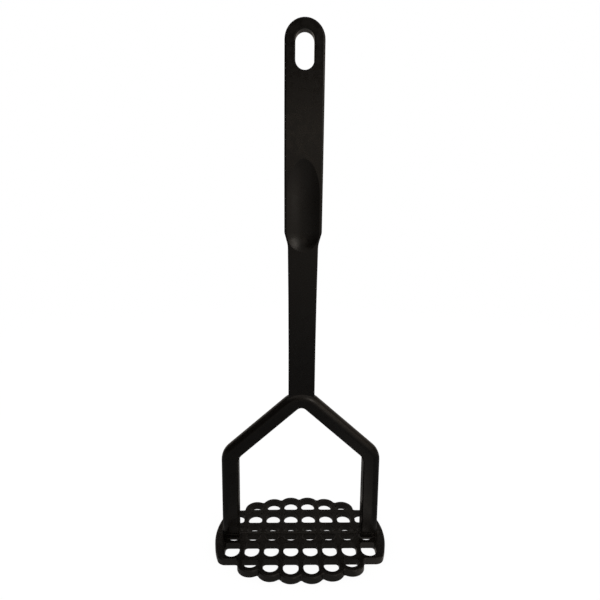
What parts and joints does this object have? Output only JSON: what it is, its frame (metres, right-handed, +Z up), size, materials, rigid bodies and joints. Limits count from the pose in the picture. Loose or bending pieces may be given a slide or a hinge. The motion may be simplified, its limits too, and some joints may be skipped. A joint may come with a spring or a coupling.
{
  "type": "potato masher",
  "caption": "Nylon potato masher: flat pierced oval plate with scalloped edges on a forked shank, with a strap handle that has a thumb scoop and a hang slot.",
  "frame": {"origin": "on the underside of the mashing plate, below the middle of the plate", "axes": "+Z up the handle, +X along the plate from leg to leg, +Y to the back, away from the thumb scoop"},
  "size_m": [0.0914, 0.0654, 0.2624],
  "materials": {
    "handle_nylon": "black nylon, satin, fine moulded grain",
    "plate_nylon": "black nylon, satin, smoother than the handle"
  },
  "bodies": {
    "root": {"handle_and_fork": "handle_nylon", "mashing_plate": "plate_nylon"}
  },
  "joints": []
}
